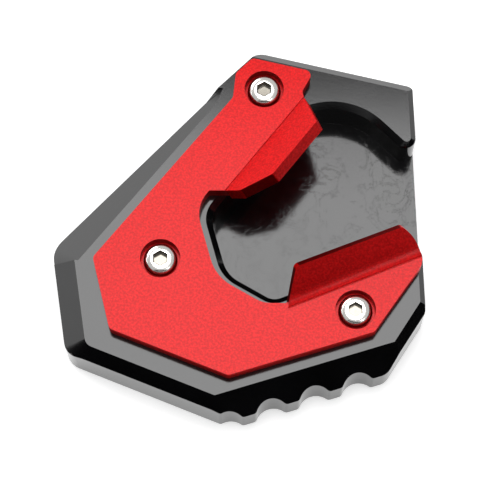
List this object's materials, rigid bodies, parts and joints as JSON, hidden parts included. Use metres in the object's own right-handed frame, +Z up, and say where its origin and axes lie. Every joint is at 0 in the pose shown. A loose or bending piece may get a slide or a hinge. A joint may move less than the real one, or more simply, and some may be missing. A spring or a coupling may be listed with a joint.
{
  "type": "kickstand foot enlarger",
  "caption": "Milled block with a deep pocket for a motorcycle side stand's foot, clamped under a red C-shaped plate with raised lips by button-head screws.",
  "frame": {"origin": "middle of the block's plan, on the ground under it", "axes": "+Z up out of the pocket, through the clamp plate; +X towards the pocket's open side; +Y away from the scalloped edge"},
  "size_m": [0.115, 0.1174, 0.0308],
  "materials": {
    "black_anodised": "black anodised, satin, milled",
    "red_anodised": "red anodised, bead-blasted",
    "stainless": "polished stainless steel"
  },
  "bodies": {
    "root": {"base_plate": "black_anodised", "clamp_plate": "red_anodised", "screw_upper": "stainless", "screw_left": "stainless", "screw_right": "stainless"}
  },
  "joints": []
}
